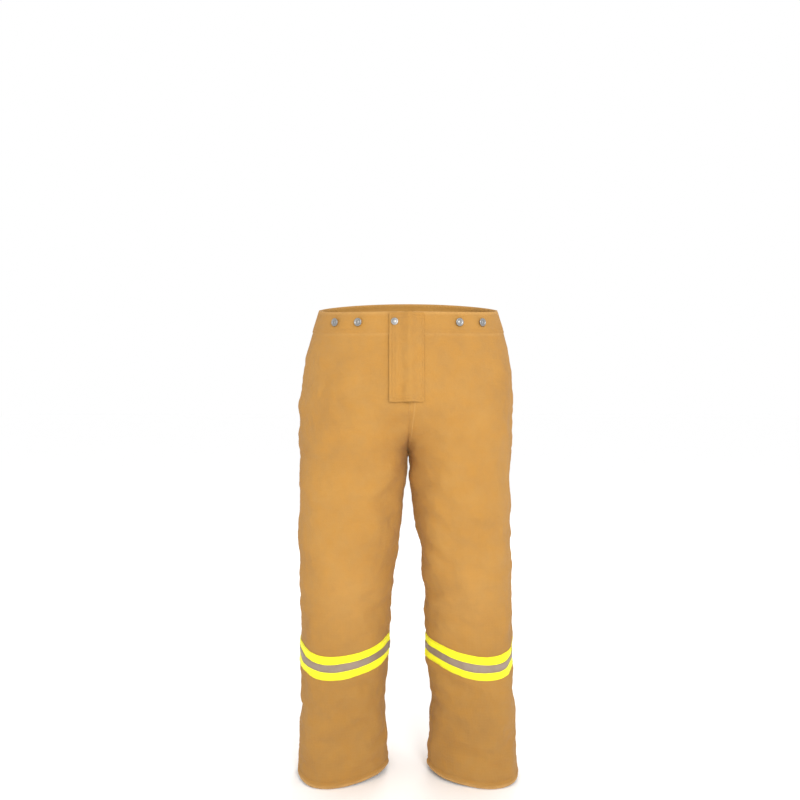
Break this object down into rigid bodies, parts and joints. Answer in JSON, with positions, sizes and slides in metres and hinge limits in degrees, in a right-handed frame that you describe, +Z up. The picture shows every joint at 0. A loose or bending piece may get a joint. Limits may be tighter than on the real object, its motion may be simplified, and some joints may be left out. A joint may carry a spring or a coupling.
{
  "type": "bunker pants",
  "caption": "Firefighter's bunker pants: wide cloth trousers with a lined seat, zip fly under a storm flap, reflective band round each shin and turned cuffs.",
  "frame": {"origin": "centre of the waist opening, level with its front edge", "axes": "+Z up along the body, the front faces -Y, the wearer's left leg is at +X"},
  "size_m": [0.5, 0.3137, 1.051],
  "materials": {
    "shell_cloth": "matte tan aramid rip-stop cloth",
    "quilted_liner": "matte quilted thermal liner",
    "fluorescent_tape": "fluorescent yellow woven tape",
    "reflective_tape": "silver glass-bead tape",
    "hook_and_loop": "brown hook-and-loop tape",
    "zip_tape": "brown woven zip tape",
    "webbing": "tan woven webbing",
    "brass": "brushed brass",
    "nickelled_steel": "nickelled steel"
  },
  "bodies": {
    "seat": {"left_hip_front_panel": "shell_cloth", "left_hip_back_panel": "shell_cloth", "right_hip_front_panel": "shell_cloth", "right_hip_back_panel": "shell_cloth", "left_groin_front_panel": "shell_cloth", "left_groin_back_panel": "shell_cloth", "right_groin_front_panel": "shell_cloth", "right_groin_back_panel": "shell_cloth", "waistband_facing": "shell_cloth", "seat_liner": "quilted_liner", "left_groin_liner": "quilted_liner", "right_groin_liner": "quilted_liner", "fly_shield": "shell_cloth", "left_zip_tape": "zip_tape", "right_zip_tape": "zip_tape", "zip_chain": "brass", "zip_stops": "brass", "fly_loop_tape": "hook_and_loop", "press_stud_post": "nickelled_steel", "brace_buttons": "nickelled_steel", "left_strap_anchor": "shell_cloth", "right_strap_anchor": "shell_cloth", "left_slide_buckle": "nickelled_steel", "right_slide_buckle": "nickelled_steel"},
    "fly_flap": {"fly_flap": "shell_cloth", "fly_hook_tape": "hook_and_loop", "press_stud_cap": "nickelled_steel"},
    "zip_slider": {"zip_slider": "brass"},
    "zip_pull": {"zip_pull": "brass"},
    "left_takeup_strap": {"left_takeup_strap": "webbing"},
    "right_takeup_strap": {"right_takeup_strap": "webbing"},
    "left_thigh": {"left_thigh_front_panel": "shell_cloth", "left_thigh_back_panel": "shell_cloth", "left_thigh_liner": "quilted_liner", "left_knee_front_panel": "shell_cloth", "left_knee_back_panel": "shell_cloth", "left_knee_liner": "quilted_liner"},
    "left_shin": {"left_shin_front_panel": "shell_cloth", "left_shin_back_panel": "shell_cloth", "left_shin_liner": "quilted_liner", "left_fluorescent_band": "fluorescent_tape", "left_reflective_stripe": "reflective_tape", "left_cuff_facing": "shell_cloth"},
    "right_thigh": {"right_thigh_front_panel": "shell_cloth", "right_thigh_back_panel": "shell_cloth", "right_thigh_liner": "quilted_liner", "right_knee_front_panel": "shell_cloth", "right_knee_back_panel": "shell_cloth", "right_knee_liner": "quilted_liner"},
    "right_shin": {"right_shin_front_panel": "shell_cloth", "right_shin_back_panel": "shell_cloth", "right_shin_liner": "quilted_liner", "right_fluorescent_band": "fluorescent_tape", "right_reflective_stripe": "reflective_tape", "right_cuff_facing": "shell_cloth"}
  },
  "joints": [
    {"name": "left_hip_bend", "type": "hinge", "parent": "seat", "child": "left_thigh", "pos_m": [0.12, 0.012, -0.25], "axis": [-1, 0, 0], "range_deg": [-15, 70], "deforming": ["left_groin_front_panel", "left_groin_back_panel", "left_groin_liner"]},
    {"name": "left_knee_bend", "type": "hinge", "parent": "left_thigh", "child": "left_shin", "pos_m": [0.137, 0.02, -0.604], "axis": [1, 0, 0], "range_deg": [0, 90], "deforming": ["left_knee_front_panel", "left_knee_back_panel", "left_knee_liner"]},
    {"name": "right_hip_bend", "type": "hinge", "parent": "seat", "child": "right_thigh", "pos_m": [-0.12, 0.012, -0.25], "axis": [-1, 0, 0], "range_deg": [-15, 70], "deforming": ["right_groin_front_panel", "right_groin_back_panel", "right_groin_liner"]},
    {"name": "right_knee_bend", "type": "hinge", "parent": "right_thigh", "child": "right_shin", "pos_m": [-0.137, 0.02, -0.604], "axis": [1, 0, 0], "range_deg": [0, 90], "deforming": ["right_knee_front_panel", "right_knee_back_panel", "right_knee_liner"]},
    {"name": "fly_flap_open", "type": "hinge", "parent": "seat", "child": "fly_flap", "pos_m": [0.0313, -0.13749, -0.08728], "axis": [0, 0.1022, 0.9948], "range_deg": [0, 150]},
    {"name": "zip_slide", "type": "slide", "parent": "seat", "child": "zip_slider", "axis": [0, -0.1022, -0.9948], "range_m": [0, 0.145]},
    {"name": "zip_pull_swing", "type": "hinge", "parent": "zip_slider", "child": "zip_pull", "pos_m": [0, -0.12808, -0.01436], "axis": [-1, 0, 0], "range_deg": [0, 25]},
    {"name": "left_strap_slide", "type": "slide", "parent": "seat", "child": "left_takeup_strap", "axis": [0.854, -0.5203, 0], "range_m": [0, 0.035]},
    {"name": "right_strap_slide", "type": "slide", "parent": "seat", "child": "right_takeup_strap", "axis": [-0.854, -0.5203, 0], "range_m": [0, 0.035]}
  ]
}
